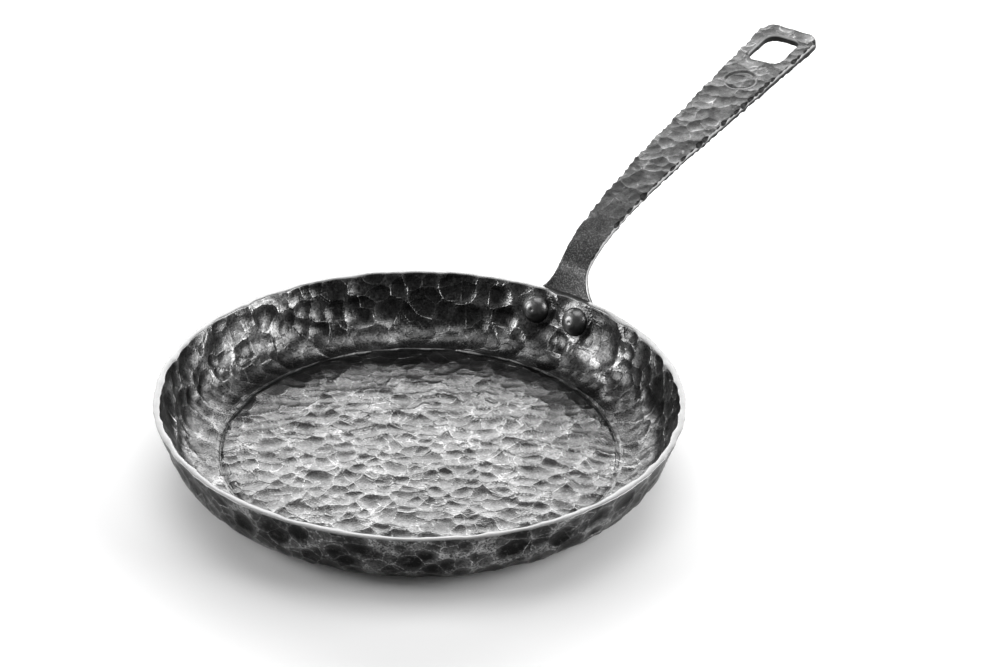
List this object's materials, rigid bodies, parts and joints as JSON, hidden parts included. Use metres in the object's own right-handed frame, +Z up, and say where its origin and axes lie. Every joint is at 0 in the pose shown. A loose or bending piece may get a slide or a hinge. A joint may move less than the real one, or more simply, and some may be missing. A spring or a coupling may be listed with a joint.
{
  "type": "hammered iron frying pan",
  "caption": "Round hammered iron frying pan with a flared wall and a long flat forged handle, riveted through the wall and pierced with a hanging hole.",
  "frame": {"origin": "centre of the flat underside of the pan", "axes": "+Z up, out of the pan's mouth; +X out along the handle; +Y to the left of someone looking from the pan along the handle"},
  "size_m": [0.4912, 0.2594, 0.1059],
  "materials": {
    "hammered_dish": "hand-hammered, oil-blackened, semi-gloss, with the ridges and the rim rubbed bright",
    "forged_handle": "hand-hammered, waxed, satin grey, with rubbed edges",
    "rivet_iron": "smooth blackened domes, satin"
  },
  "bodies": {
    "root": {"pan_body": "hammered_dish", "handle": "forged_handle", "rivet_left": "rivet_iron", "rivet_right": "rivet_iron"}
  },
  "joints": []
}
